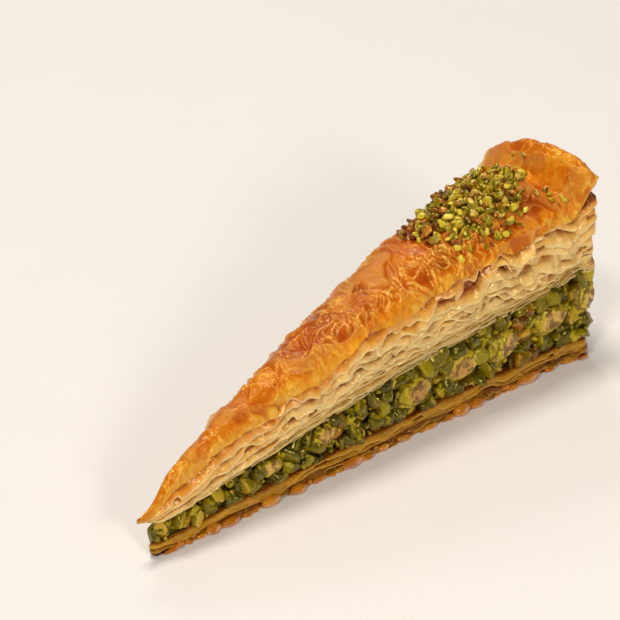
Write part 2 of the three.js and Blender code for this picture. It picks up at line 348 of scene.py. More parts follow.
class Shader:
    """A node material with short calls for the nodes that food needs."""

    def __init__(self, name, **settings):
        self.material = bpy.data.materials.new(name)
        self.material.use_nodes = True
        self.tree = self.material.node_tree
        self.surface = self.tree.nodes["Principled BSDF"]
        self.place = self.add("ShaderNodeTexCoord").outputs["Object"]
        for key, value in settings.items():
            self.surface.inputs[key.replace("_", " ")].default_value = value

    def add(self, kind, inputs=None, **settings):
        made = self.tree.nodes.new(kind)
        for key, value in settings.items():
            setattr(made, key, value)
        for key, value in (inputs or {}).items():
            if isinstance(value, bpy.types.NodeSocket):
                self.tree.links.new(value, made.inputs[key])
            else:
                made.inputs[key].default_value = value
        return made

    def mask(self, name):
        return self.add("ShaderNodeAttribute", attribute_name=name).outputs["Fac"]

    def spots(self, size_mm, detail=2.0, stretch=(1, 1, 1), warp=0.0):
        """Noise from 0 to 1 with lumps of this size."""
        place = self.add(
            "ShaderNodeMapping",
            {"Vector": self.place, "Scale": [1000 * s / size_mm for s in stretch]},
        ).outputs["Vector"]
        return self.add(
            "ShaderNodeTexNoise",
            {"Vector": place, "Scale": 1.0, "Detail": detail, "Distortion": warp},
        ).outputs["Fac"]

    def maths(self, operation, a, b, clamp=False):
        return self.add(
            "ShaderNodeMath", {0: a, 1: b}, operation=operation, use_clamp=clamp
        ).outputs[0]

    def between(self, value, low, high, to_low=0.0, to_high=1.0):
        return self.add(
            "ShaderNodeMapRange",
            {"Value": value, "From Min": low, "From Max": high, "To Min": to_low, "To Max": to_high},
        ).outputs["Result"]

    def ramp(self, value, stops):
        made = self.add("ShaderNodeValToRGB", {"Fac": value})
        keys = made.color_ramp.elements
        while len(keys) < len(stops):
            keys.new(0.5)
        for key, (at, code) in zip(keys, stops):
            key.position = at
            key.color = colour(code)
        return made.outputs["Color"]

    def blend(self, amount, a, b, mode="MIX"):
        made = self.add("ShaderNodeMix", data_type="RGBA", blend_type=mode)
        for index, value in ((0, amount), (6, a), (7, b)):
            if isinstance(value, bpy.types.NodeSocket):
                self.tree.links.new(value, made.inputs[index])
            else:
                made.inputs[index].default_value = value
        return made.outputs[2]

    def use(self, **sockets):
        for key, value in sockets.items():
            self.tree.links.new(value, self.surface.inputs[key.replace("_", " ")])

    def bump(self, height, depth_mm, strength=1.0):
        made = self.add(
            "ShaderNodeBump",
            {"Height": height, "Distance": depth_mm / 1000, "Strength": strength},
        )
        self.use(Normal=made.outputs["Normal"])


def pastry_shader(name, stops, rim, speck_highlight, **settings):
    """Thin baked leaves: stops colour the mask tone. The edge mask paints shade into the grooves and
    under each hem, and a highlight of the rim colour on the thin hems; the last colour paints small
    highlight specks.
    """
    base = {
        "Subsurface_Weight": 0.1,
        "Subsurface_Radius": (1.0, 0.5, 0.12),
        "Subsurface_Scale": 0.0007,
        "Specular_Tint": (1.0, 0.78, 0.35, 1.0),
        "Specular_IOR_Level": 1.0,
        "Coat_Weight": 0.2,
        "Coat_Roughness": 0.1,
    }
    shader = Shader(name, **{**base, **settings})
    uneven = shader.between(shader.spots(5, 3, (1, 1, 2)), 0.3, 0.7, -0.13, 0.13)
    tone = shader.maths("ADD", shader.mask("tone"), uneven, clamp=True)
    body = shader.ramp(tone, stops)
    edge = shader.mask("edge")
    # Painted shade: low edge values darken the grooves and the tops of the leaf faces under each hem.
    groove_shade = shader.between(edge, 0.16, 0.64, 1.0, 0.0)
    body = shader.blend(groove_shade, body, colour("9a5404"), "MULTIPLY")
    # Painted highlight: high edge values lighten the thin hems towards the rim colour.
    hem_highlight = shader.between(edge, 0.66, 1.0, 0.0, 0.75)
    body = shader.blend(hem_highlight, body, colour(rim))
    # Painted highlight: small pale specks of the last colour stand in for glints on the wet leaves.
    highlight_specks = shader.between(shader.spots(1.3, 1), 0.62, 0.72, 0.0, 0.45)
    body = shader.blend(highlight_specks, body, colour(speck_highlight))
    shader.use(Base_Color=body)
    creases = shader.spots(1.5, 4, (0.5, 0.5, 1.4), 0.7)
    shader.bump(creases, 0.5, 1.0)
    shader.use(Roughness=shader.between(shader.spots(2.2, 2), 0.35, 0.65, 0.08, 0.32))
    return shader.material


def crust_shader():
    """Glossy orange skin with dull pinkish blisters, painted pale highlights along its thin wrinkles,
    and painted shade in its hollows, with brown crack lines round the blisters.
    """
    shader = Shader(
        "crust",
        Subsurface_Weight=0.1,
        Subsurface_Radius=(1.0, 0.4, 0.1),
        Subsurface_Scale=0.001,
        Specular_Tint=(1.0, 0.65, 0.15, 1.0),
        Specular_IOR_Level=0.9,
        Coat_Weight=0.05,
        Coat_Roughness=0.1,
    )
    mottle = shader.between(shader.spots(5, 3), 0.3, 0.7, -0.17, 0.17)
    tone = shader.maths("ADD", shader.mask("tone"), mottle, clamp=True)
    stops = [(0.0, "f4ba44"), (0.25, "f09e1c"), (0.5, "e47e04"), (0.75, "c85c00"), (1.0, "943c00")]
    body = shader.ramp(tone, stops)
    # Painted shade darkens the low places of the relief and the rings under the hem; the dark lines
    # round the blisters are real cracks.
    shade_and_cracks = shader.maths("MULTIPLY", shader.mask("shade_and_cracks"), 0.85)
    body = shader.blend(shade_and_cracks, body, colour("d08030"), "MULTIPLY")
    blister = shader.mask("blister")
    patch = shader.between(shader.spots(3, 3), 0.35, 0.6, 0.35, 0.9)
    body = shader.blend(shader.maths("MULTIPLY", blister, patch), body, colour("d07c2c"))
    # Painted highlight: pale lines along the crests of the wrinkles and folds, and along the lip of
    # the hem.
    body = shader.blend(shader.mask("wrinkle_highlight"), body, colour("f8bc48"))
    shader.use(Base_Color=body)
    shader.bump(shader.spots(1.1, 4, (1.4, 0.7, 1), 0.9), 0.3, 0.9)
    shader.use(Roughness=shader.between(blister, 0.0, 1.0, 0.16, 0.42))
    return shader.material


def nut_shader(name, flesh, skin, depth, coat, mottled=0.0, bare=0.0):
    """Chopped pistachio: fresh cuts and bare patches show the flesh, the rest the skin."""
    shader = Shader(
        name,
        Subsurface_Weight=0.12,
        Subsurface_Radius=(1.0, 0.9, 0.15),
        Subsurface_Scale=0.001,
        Specular_Tint=(1.0, 0.85, 0.2, 1.0),
        Specular_IOR_Level=1.0,
        Coat_Weight=coat,
        Coat_Roughness=0.1,
    )
    drift = shader.between(shader.spots(1.8, 2), 0.3, 0.7, -0.07, 0.07)
    tint = shader.maths("ADD", shader.mask("tint"), drift, clamp=True)
    inside = shader.ramp(tint, flesh)
    outside = shader.ramp(tint, skin)
    patchy = shader.between(shader.spots(1.1, 3), 0.35, 0.65, bare - 0.25, bare + 0.25)
    fresh = shader.maths("ADD", shader.mask("fresh"), patchy, clamp=True)
    body = shader.blend(fresh, outside, inside)
    papery = shader.between(shader.spots(2.6, 3, warp=1.0), 0.46, 0.56, 0.0, mottled)
    body = shader.blend(papery, body, colour("56261a"))
    shader.use(Base_Color=body)
    shader.bump(shader.spots(0.9, 3), depth, 0.7)
    shader.use(Roughness=shader.between(fresh, 0, 1, 0.1, 0.28))
    return shader.material


def syrup_shader():
    """Clear amber syrup."""
    shader = Shader(
        "syrup",
        Roughness=0.05,
        IOR=1.47,
        Specular_Tint=(1.0, 0.75, 0.3, 1.0),
        Transmission_Weight=0.2,
        Subsurface_Weight=0.3,
        Subsurface_Radius=(1.0, 0.4, 0.08),
        Subsurface_Scale=0.001,
        Coat_Weight=0.3,
        Coat_Roughness=0.03,
    )
    amber = shader.ramp(shader.spots(3, 1), [(0.3, "c46c06"), (0.7, "e89a20")])
    shader.use(Base_Color=amber)
    shader.bump(shader.spots(1.4, 1), 0.12, 0.5)
    return shader.material


# ---------------------------------------------------------------- stacks of leaves


def leaf_heights(stations, kind):
    """How much of the stack's height each leaf shows at each station, adding up to 1."""
    rows = []
    for k, weight in enumerate(kind.weights):
        at = stack_xyz(stations.x, stations.y, k * 31.0)
        wander = 0.75 * noise(at, 26, kind.seed) + 0.5 * noise(at, 9, kind.seed + 1)
        keep = smooth((stations.x - kind.starts[k]) / 25)
        rows.append(weight * np.exp(wander) * np.maximum(keep, 0.02))
    rows = np.array(rows)
    return rows / rows.sum(axis=0)


def leaf_profile(stations, k, low, tall, below, kind):
    """Offset, height and edge mask up one leaf: its groove, its hem, then its outer face. The edge
    mask is painted shade near 0, in the groove and up the face to under the next hem, and a painted
    highlight near 1, on the hem.
    """
    at = stack_xyz(stations.x, stations.y, k * 23.0)
    seed = kind.seed
    shows = clamp01(tall / 0.8)
    ruffled = kind.ruffle * smooth((stations.x - 108) / 25) * (1 - stations.end)
    spread = kind.flare[k] * (0.5 + 0.7 * share(stations.x) + ruffled)
    held = (1 - 0.6 * stations.end) * (1 - 0.7 * near_rim_corner(stations.x, stations.y))
    spread = spread * smooth((stations.x + 5) / 14) * held
    wave = 0.8 * noise(at, 11, seed + 5) + 0.55 * noise(at, 4, seed + 6)
    stand = spread * shows * np.clip(0.5 + 0.95 * wave, -0.2, 1.4)
    stand = stand + 0.13 * noise(at, 1.5, seed + 7) * shows
    deep = shows * (0.6 + 0.7 * clamp01(0.5 + noise(at, 5, seed + 8)) + 0.5 * spread)
    lobes = smooth(0.5 + 0.9 * noise(at, 10, seed + 9) + 0.6 * noise(at, 3.4, seed + 10))
    torn = smooth((noise(at, 8, seed + 11) - 0.42) * 6)
    deep = deep * (1 - 0.5 * torn)
    hem = low - 0.8 * np.minimum(below, 2.6) * lobes * shows + 0.5 * tall * torn
    thick = kind.leaf * (0.4 + 0.6 * shows)
    # The last number is the edge mask: painted shade in the groove, a painted highlight on the hem,
    # and painted shade growing up the face to under the next hem.
    yield -deep, low + 0.02, 0.0
    yield stand - 0.3, hem + 0.02, 0.3
    yield stand, hem + 0.45 * thick, 1.0
    yield stand - 0.1, hem + thick, 0.95
    for t in np.linspace(0, 1, kind.bands + 1)[1:]:
        height = mix(hem + thick, low + tall, t)
        face = stack_xyz(stations.x, stations.y, height)
        dents = 0.5 * noise(face, 3.6, seed + 12) + 0.22 * noise(face, 1.6, seed + 13)
        dents = dents * np.sqrt(np.sin(np.pi * min(t, 0.85))) * shows * np.minimum(spread, 1)
        yield mix(stand, -0.3 * deep, t**1.4) + dents, height, 0.72 - 0.55 * smooth((t - 0.3) / 0.7)


def leaf_stack(stations, bottom, top, kind):
    """Rings up the cut face of a stack of leaves, with their edge masks of painted shade and
    highlight, and their levels.
    """
    shares = leaf_heights(stations, kind)
    levels = np.vstack([np.zeros(len(stations.x)), np.cumsum(shares, axis=0)])
    total = top - bottom
    rings, shade_highlight_masks, heights = [], [], []
    for k in range(len(kind.weights)):
        low = bottom + total * levels[k]
        tall = total * shares[k]
        below = total * shares[k - 1] if k else 0.3 * tall
        pleat = rim_pleat(stations, low)
        for offset, height, edge in leaf_profile(stations, k, low, tall, below, kind):
            rings.append(ring(stations, offset + pleat, np.maximum(height, bottom - 0.4)))
            shade_highlight_masks.append(mix(0.6, edge, clamp01(tall / 0.8)))
            heights.append((height - bottom) / total)
    return rings, shade_highlight_masks, heights


def rim_pleat(stations, height):
    """The rim end bulges in rows of rounded lobes."""
    at = stack_xyz(stations.x, stations.y, 0.0)
    lobe = np.abs(np.sin(np.pi * height / 4.7 + 0.9 * noise(at, 9, 71)))
    lobe = lobe**0.7 * (0.8 + 0.35 * noise(stack_xyz(stations.x, stations.y, height), 5, 72))
    return stations.end * (1.5 * lobe - 0.5)


def closed_stack(stations, rings, shade_highlight_masks, heights, floor_at, roof_at):
    """Adds the rings that close a stack below and above onto the middle line."""
    count = len(stations.x)
    first = [inner_ring(stations, t, floor_at) for t in (1.0, 0.4)]
    last = [inner_ring(stations, t, roof_at) for t in (0.4, 1.0)]
    rings = first + rings + last
    shade_highlight_masks = [np.full(count, 0.5)] * 2 + shade_highlight_masks + [np.full(count, 0.5)] * 2
    heights = [np.zeros(count)] * 2 + heights + [np.ones(count)] * 2
    return rings, shade_highlight_masks, heights


# ---------------------------------------------------------------- the upper pastry


def crust_hem(x, y):
    """Height of the wavy lower edge of the top skin round the slice."""
    at = stack_xyz(x, y, 3.0)
    drop = 2.6 + 2.2 * noise(at, 17, 21) + 1.1 * noise(at, 6, 22) + 0.35 * noise(at, 2.2, 23)
    drop = np.maximum(drop, 0.3) * smooth(share(x) * 6 + 0.2)
    drop = mix(drop, 0.2, near_rim_corner(x, y))
    floor = upper_underside(x) + 0.2
    return np.maximum(top_height(x, 1.0, y) - drop, floor)


def line_through(stations, heights):
    """The near side's heights as a function of x."""
    near = len(stations.x) // 2
    return lambda x: np.interp(x, stations.x[:near], heights[:near])


def upper_leaves(material):
    """The stack of leaves in two pieces: pressed ones above the filling, then loose ones."""
    stations = outline(-NOSE_OVERHANG - 1.8, TIP_RADIUS * 0.25, LEAF_SPACING)
    x, y = stations.x, stations.y
    at = stack_xyz(x, y, 0.0)
    bottom = upper_underside(x) + 0.05 + 0.35 * noise(at, 8, 31) * smooth(x / 20)
    top = crust_hem(x, y) + 0.6 - 5.0 * near_rim_corner(x, y)
    pressed_share = 0.04 + (0.22 + 0.05 * noise(at, 20, 32)) * smooth((x - 5) / 60)
    split = mix(bottom, top, pressed_share)
    pressed = SimpleNamespace(
        weights=np.linspace(0.7, 1.2, PRESSED_LEAVES),
        starts=[60, 15, 80, -40, 45, 20, 70, -40],
        flare=np.full(PRESSED_LEAVES, 0.7),
        ruffle=0.0,
        leaf=0.2,
        bands=2,
        seed=41,
    )
    loose = SimpleNamespace(
        weights=[0.8, 1.0, 1.1, 1.4, 1.5, 1.8, 1.8],
        starts=[-40, 40, 15, -40, 65, -40, 30],
        flare=np.linspace(1.5, 2.6, LOOSE_LEAVES),
        ruffle=0.6,
        leaf=0.33,
        bands=6,
        seed=51,
    )
    made = []
    for name, low, high, kind in (
        ("pressed_leaves", bottom, split, pressed),
        ("loose_leaves", split, top, loose),
    ):
        stack = leaf_stack(stations, low, high, kind)
        closing = line_through(stations, low), line_through(stations, high)
        rings, shade_highlight_masks, heights = closed_stack(stations, *stack, *closing)
        tones = [pastry_tone((r[:, 2] - bottom) / (top - bottom), r) for r in rings]
        made.append(piece_of_rings(name, rings, material, {"edge": shade_highlight_masks, "tone": tones}))
    return made


def pastry_tone(level, points):
    """0 is soaked and olive, 0.5 is pale, and 1 is browned like the crust. Under the lifted flap at
    the near rim corner the top leaves are pushed towards 1 as painted shade.
    """
    x = points[:, 0]
    soaked = 0.5 * smooth(level / 0.3)
    pale_end = 1 - 0.75 * smooth((x - 105) / 25)
    browned = 0.5 * smooth((level - 0.5) / 0.5) * pale_end
    near_tip = 0.28 * smooth(1 - x / 75)
    at_end = 0.22 * smooth((x - 149) / 5)
    # Painted shade: the top leaves under the lifted flap at the near rim corner go deeper orange.
    flap_shade = 0.5 * near_rim_corner(x, points[:, 1]) * smooth((level - 0.7) / 0.3)
    uneven = 0.1 * noise(points, 12, 61)
    return clamp01(soaked + browned + near_tip + at_end + flap_shade + uneven)


def crust_relief(points, across):
    """Height that blisters, folds and wrinkles add to the top skin, and where they are."""
    x = points[..., 0]
    warp = stack_xyz(noise(points, 7, 81), noise(points, 7, 82), 0.0)
    bent = points + 2.2 * warp
    width = smooth(share(x) * 3 + 0.25)
    swell = 0.7 * noise(points, 15, 83)
    blister = smooth((noise(bent, 9, 84) - 0.05) * 3.2)
    folds = ridges(bent * [1, 0.75, 0.75], 4.2, 85, 3)
    shoulder = smooth(0.15 + 1.3 * noise(points, 12, 86) + 0.8 * across)
    wrinkle = ridges(bent * [1.5, 0.6, 0.6], 2.1, 87, 4) * shoulder
    fine = noise(bent * [1.3, 0.8, 0.8], 1.2, 88)
    height = swell + 0.8 * blister + 0.55 * folds * (1 - 0.6 * blister)
    height = height + 0.42 * wrinkle * (1 - 0.7 * blister) + 0.07 * fine
    return height * width, blister, folds, wrinkle


def skin_ring(stations, points, outward, turn, across):
    """One ring of the top skin, raised by its relief sideways or up as turn goes 0 to 1."""
    relief, blister, folds, wrinkle = crust_relief(points, across)
    lift = 0.5 * np.pi * turn
    side = outward + relief * np.cos(lift)
    raised = points + stack_xyz(stations.out[:, 0] * side, stations.out[:, 1] * side, 0.0)
    corner = near_rim_corner(points[:, 0], points[:, 1])
    raised[:, 2] += relief * np.sin(lift) + 1.0 * corner * smooth((across - 0.3) * 2)
    masks = {
        "blister": blister * smooth(turn * 2.5 - 0.8),
        # painted highlight on the crests of the wrinkles and folds
        "wrinkle_highlight": clamp01(1.0 * wrinkle + 0.35 * folds - 0.16),
        # painted shade where the relief is low, and brown crack lines round each blister
        "shade_and_cracks": clamp01(0.45 - 0.8 * relief + 2.4 * blister * (1 - blister)),
    }
    return raised, masks


def crust_tone(points, turn):
    """0 is golden and 1 is deep orange."""
    x = points[:, 0]
    deep = 0.18 + 0.5 * turn + 0.12 * smooth((x - 60) / 60) * turn
    paler = 0.32 * smooth(1.1 - x / 60) + 0.3 * smooth((x - 138) / 8)
    return clamp01(deep - paler + 0.16 * noise(points, 17, 95))


def crust(material):
    """The baked top skin: it hangs over the leaves as the last of them, then covers the top."""
    stations = outline(-NOSE_OVERHANG - 1.8, TIP_RADIUS * 0.25, CRUST_SPACING)
    x, y = stations.x, stations.y
    at = stack_xyz(x, y, 9.0)
    hem = crust_hem(x, y)
    edge_top = top_height(x, 1.0, y)
    stand = 0.75 + 0.8 * noise(at, 9, 91) + 0.5 * noise(at, 3.4, 92)
    stand = np.maximum(stand, 0.15) * smooth(share(x) * 5 + 0.15) - 0.6 * stations.end
    zeros = np.zeros(len(x))
    rings = [
        ring(stations, -2.6, hem + 0.9),
        ring(stations, stand - 0.45, hem + 0.15),
        ring(stations, stand - 0.05, hem),
    ]
    masks = {
        "tone": [zeros + 0.5, zeros + 0.4, zeros + 0.2],
        # painted highlight along the lip of the hem
        "wrinkle_highlight": [zeros, zeros, zeros + 0.3],
        "blister": [zeros] * 3,
        # painted shade on the rings under the hem
        "shade_and_cracks": [zeros + 0.4, zeros + 0.2, zeros],
    }
    for level in np.linspace(0, 1, SKIRT_RINGS):
        points = stack_xyz(x, y, mix(hem + 0.25, edge_top, level))
        outward = stand * (1 - level) ** 1.2
        add_skin(rings, masks, stations, points, outward, 0.08 + 0.37 * level, 1.0)
    for towards in np.linspace(0, 1, TOP_RINGS)[1:] ** 0.9:
        px = mix(x, stations.spine, towards)
        py = mix(y, 0, towards)
        points = stack_xyz(px, py, top_height(px, 1 - towards, py))
        turn = 0.45 + 0.55 * smooth(towards * 5)
        add_skin(rings, masks, stations, points, 0.0, turn, 1 - towards)
    return piece_of_rings("crust", rings, material, masks)


def add_skin(rings, masks, stations, points, outward, turn, across):
    """Adds one raised ring of the crust and its masks to the lists."""
    raised, found = skin_ring(stations, points, outward, turn, across)
    rings.append(raised)
    masks["tone"].append(crust_tone(points, turn))
    for key, values in found.items():
        masks[key].append(values)


# ---------------------------------------------------------------- nuts


def ball(level):
    """Points and faces of a unit ball."""
    work = bmesh.new()
    bmesh.ops.create_icosphere(work, subdivisions=level, radius=1)
    points = np.array([v.co[:] for v in work.verts])
    faces = np.array([[v.index for v in f.verts] for f in work.faces])
    work.free()
    return points, faces


def random_directions(chance, count):
    made = chance.normal(size=(count, 3))
    return made / np.linalg.norm(made, axis=1)[:, None]


def broken_lumps(level, kinds, cuts, seed):
    """Unit lumps with flat broken faces, and how freshly cut each point of each is."""
    chance = np.random.default_rng(seed)
    base, faces = ball(level)
    shapes, fresh = [], []
    for kind in range(kinds):
        swell = 0.22 * noise(base, 0.9, seed + kind) + 0.07 * noise(base, 0.4, seed + kind)
        points = base * (1 + swell)[:, None]
        cut_at = np.zeros(len(points))
        for way in random_directions(chance, cuts):
            over = points @ way - chance.uniform(0.3, 0.65)
            hit = over > 0
            points[hit] -= 0.75 * over[hit, None] * way
            cut_at[hit] = 1
        points = points * (1 + 0.07 * noise(points, 0.45, seed + 50 + kind))[:, None]
        shapes.append(points)
        fresh.append(cut_at)
    return np.array(shapes), np.array(fresh), faces


def turns(chance, count):
    """Random rotations as 3 by 3 matrices."""
    q = chance.normal(size=(count, 4))
    w, x, y, z = (q / np.linalg.norm(q, axis=1)[:, None]).T
    rows = [
        [1 - 2 * (y * y + z * z), 2 * (x * y - z * w), 2 * (x * z + y * w)],
        [2 * (x * y + z * w), 1 - 2 * (x * x + z * z), 2 * (y * z - x * w)],
        [2 * (x * z - y * w), 2 * (y * z + x * w), 1 - 2 * (x * x + y * y)],
    ]
    return np.moveaxis(np.array(rows), -1, 0)


def scattered(name, centres, sizes, tints, lumps, material, seed):
    """One mesh of many lumps at these centres, each turned its own way."""
    chance = np.random.default_rng(seed)
    shapes, fresh, faces = lumps
    count = len(centres)
    pick = chance.integers(len(shapes), size=count)
    points = shapes[pick] * sizes[:, None, :] / 2
    points = np.einsum("nij,nkj->nki", turns(chance, count), points)
    points = points + centres[:, None, :]
    per = shapes.shape[1]
    all_faces = faces[None] + (np.arange(count) * per)[:, None, None]
    masks = {"fresh": fresh[pick], "tint": np.repeat(tints, per)}
    return make_piece(name, points.reshape(-1, 3), all_faces.reshape(-1, 3), material, masks)


# ---------------------------------------------------------------- the filling


def filling_sites(spacing, seed):
    """Places over the filling's cut faces, with the way out at each."""
    chance = np.random.default_rng(seed)
    stations = outline(-0.4, TIP_RADIUS * 0.9, spacing)
    sites, ways = [], []
    for i, x in enumerate(stations.x):
        low, high = lower_top(x) + 0.3, filling_top(x) - 0.2
        rows = max(1, round((high - low) / spacing))
        out = stations.out[i]
        for row in range(rows):
            level = (row + 0.5 + chance.uniform(-0.4, 0.4)) / rows
            slide = chance.uniform(-0.5, 0.5) * spacing
            sites.append((x - out[1] * slide, stations.y[i] + out[0] * slide, mix(low, high, level)))
            ways.append(out)
    return np.array(sites), np.array(ways), chance


def clear_of_kernels(sites, room):
    """Which places leave the kernels in the cut face open to view."""
    keep = np.ones(len(sites), bool)
    for low, high in kernel_boxes():
        middle, half = (low + high) / 2, (high - low) / 2
        apart = np.hypot(*((sites - middle)[:, [0, 2]] / (half[[0, 2]] * room)).T)
        keep &= (apart > 1) | (sites[:, 1] * middle[1] < 0)
    return keep


def kernel_names():
    return sorted(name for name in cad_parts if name.startswith("kernel_"))


def kernel_boxes():
    """Low and high corner of each kernel's solid, in the slice's own measure."""
    return [np.array(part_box(name)) * 1000 - [ROW_X, 0, 0] for name in kernel_names()]


def filling_core(material):
    """The packed mass behind the nuts, in the darkest tint as painted shade where it shows in the
    gaps between them.
    """
    stations = outline(-0.4, TIP_RADIUS * 0.9, 1.0)

    def bottom(x):
        return lower_top(x) + 0.1

    def top(x):
        return filling_top(x) - 0.1

    rings = [inner_ring(stations, t, bottom) for t in (1, 0.4)]
    for level in np.linspace(0.0, 1.0, 9):
        height = mix(bottom(stations.x), top(stations.x), level)
        at = stack_xyz(stations.x, stations.y, height)
        rings.append(ring(stations, -1.8 + 0.5 * noise(at, 3, 101), height))
    rings += [inner_ring(stations, t, top) for t in (0.4, 1)]
    count = len(stations.x)
    # Painted shade: the darkest tint makes the gaps between the nuts read dark.
    masks = {"fresh": [np.zeros(count)] * len(rings), "tint": [np.full(count, 0.05)] * len(rings)}
    return piece_of_rings("filling_core", rings, material, masks)


def filling_nuts(material):
    """Two grades of chopped nuts pressed into the cut faces."""
    made = []
    grades = [
        ("filling_chunks", 3.5, (4.4, 7.4), (-2.3, -0.7), 3, 111, 1.14),
        ("filling_bits", 2.7, (1.5, 3.0), (-1.8, -0.1), 2, 121, 1.08),
    ]
    for name, spacing, size_range, depth_range, level, seed, room in grades:
        sites, ways, chance = filling_sites(spacing, seed)
        sites[:, :2] += ways * chance.uniform(*depth_range, len(sites))[:, None]
        sites = sites[clear_of_kernels(sites, room) | (ways[:, 0] > 0.7)]
        size = chance.uniform(*size_range, len(sites)) * mix(0.75, 1, share(sites[:, 0]) ** 0.5)
        size = size[:, None] * chance.uniform([1.0, 0.7, 0.6], [1.35, 1.0, 0.85], (len(sites), 3))
        half = size.mean(axis=1) / 2
        low = lower_top(sites[:, 0]) + half * 0.7
        high = filling_top(sites[:, 0]) - half * 0.6
        sites[:, 2] = np.clip(sites[:, 2], low, np.maximum(low, high))
        tints = mix(chance.random(len(sites)), 0.85, 0.6 * smooth(1.2 - sites[:, 0] / 25))
        lumps = broken_lumps(level, 14, 2, seed + 1)
        made.append(scattered(name, sites, size, tints, lumps, material, seed + 2))
    return made


def kernels(material):
    """Whole and half kernels where the CAD has them, each with a cut face turned outward."""
    base, faces = ball(5)
    chance = np.random.default_rng(131)
    all_points, all_faces, fresh, tints = [], [], [], []
    for index, name in enumerate(kernel_names()):
        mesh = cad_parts[name].data
        corners = np.array([v.co[:] for v in mesh.vertices]) * 1000 - [ROW_X, 0, 0]
        middle = (corners.min(axis=0) + corners.max(axis=0)) / 2
        long_way = np.linalg.eigh(np.cov((corners - middle).T))[1][:, 2]
        out = np.array([0.114, np.sign(middle[1]), 0.3])
        out -= long_way * (out @ long_way)
        out /= np.linalg.norm(out)
        third = np.cross(long_way, out)
        half = np.abs((corners - middle) @ long_way).max()
        plump = np.abs((corners - middle) @ third).max()
        shape = base * (1 + 0.06 * noise(base, 0.8, 141 + index))[:, None]
        worn = 0.06 * noise(base, 0.5, 161 + index)
        over = shape[:, 1] - chance.uniform(0.72, 0.82) - worn
        hit = over > 0
        shape[hit, 1] -= over[hit] * 0.8
        shape = shape * (1 + 0.045 * noise(shape * [2.0, 1, 1], 0.4, 151 + index))[:, None]
        axes = np.array([long_way * half, out * plump, third * plump]) * 1.14
        all_points.append(shape @ axes + middle + out * 1.2)
        all_faces.append(faces + index * len(base))
        fresh.append(smooth(over * 11 + 0.05))
        tints.append(np.full(len(base), chance.random()))
    masks = {"fresh": np.concatenate(fresh), "tint": np.concatenate(tints)}
    return make_piece("kernels", np.vstack(all_points), np.vstack(all_faces), material, masks)


# ---------------------------------------------------------------- the lower pastry


def underside(x):
    """Just above the plate."""
    return np.full_like(x, 0.03)


def lower_leaves(material):
    """The thin syrup-soaked stack that the slice stands on."""
    stations = outline(-1, TIP_RADIUS * 0.7, LEAF_SPACING)
    x = stations.x
    at = stack_xyz(x, stations.y, 0.0)
    bottom = 0.02 + 0.3 * clamp01(noise(at, 6, 161)) + 1.5 * smooth(1 - x / 10)
    top = lower_top(x) + 0.2 * noise(at, 5, 162)
    soaked_leaves = SimpleNamespace(
        weights=[1.8, 1.0, 0.8, 1.3, 1.6],
        starts=[-40, 30, 70, 10, -40],
        flare=[0.8, 0.7, 0.5, 0.5, 0.6],
        ruffle=0.0,
        leaf=0.35,
        bands=4,
        seed=163,
    )
    stack = leaf_stack(stations, bottom, top, soaked_leaves)
    rings, shade_highlight_masks, heights = closed_stack(stations, *stack, underside, lower_top)
    for points in rings:
        points[:, 2] = np.maximum(points[:, 2], 0.0)
    near_tip = 0.3 * smooth(1 - x / 55)
    tones = [clamp01(0.12 + 0.6 * smooth((h - 0.25) / 0.5) + near_tip) for h in heights]
    return piece_of_rings("lower_leaves", rings, material, {"edge": shade_highlight_masks, "tone": tones})


def syrup_drops(material):
    """Beads of syrup along the foot of the slice, with larger drops on the near side."""
    chance = np.random.default_rng(171)
    stations = outline(-1, TIP_RADIUS * 0.7, 1.5)
    near = len(stations.x) // 2
    large = [int(np.argmin(np.abs(stations.x[:near] - x))) for x in LARGE_DROPS]
    small = chance.integers(4, len(stations.x) - 4, size=SMALL_DROPS)
    pick = np.concatenate([large, small])
    count = len(pick)
    size = chance.uniform(0.5, 1.0, count) ** 2 * 2.3
    size[: len(large)] = chance.uniform(3.0, 4.2, len(large))
    out = stations.out[pick]
    along = np.column_stack([-out[:, 1], out[:, 0]])
    slide = chance.uniform(-0.7, 0.7, count)
    offset = chance.uniform(-0.1, 0.4, count) + 0.12 * size
    on_foot = chance.random(count) < 0.65
    height = np.where(on_foot, size * 0.3, chance.uniform(0.5, 2.6, count))
    height[: len(large)] = size[: len(large)] * 0.36
    x = stations.x[pick] + out[:, 0] * offset + along[:, 0] * slide
    y = stations.y[pick] + out[:, 1] * offset + along[:, 1] * slide
    base, faces = ball(3)
    base = base * (1 + 0.12 * noise(base, 0.9, 172))[:, None]
    stretch = chance.uniform([1.1, 0.65, 0.55], [2.2, 0.95, 0.8], (count, 3))
    local = base[None] * (stretch * size[:, None] / 2)[:, None, :]
    level = np.zeros(count)
    points = (
        stack_xyz(x, y, height)[:, None, :]
        + local[..., :1] * np.column_stack([along, level])[:, None, :]
        + local[..., 1:2] * np.column_stack([out, level])[:, None, :]
        + local[..., 2:] * [0, 0, 1]
    )
    points[..., 2] = np.maximum(points[..., 2], 0.0)
    all_faces = faces[None] + (np.arange(count) * len(base))[:, None, None]
    return make_piece("syrup_drops", points.reshape(-1, 3), all_faces.reshape(-1, 3), material, {})


# ---------------------------------------------------------------- the garnish


def surface_height(x, y):
    """Height of the crust, with its relief."""
    across = clamp01(np.abs(y) / (END_HALF_WIDTH * share(x)))
    height = top_height(x, across, y)
    return height + crust_relief(stack_xyz(x, y, height), across)[0]


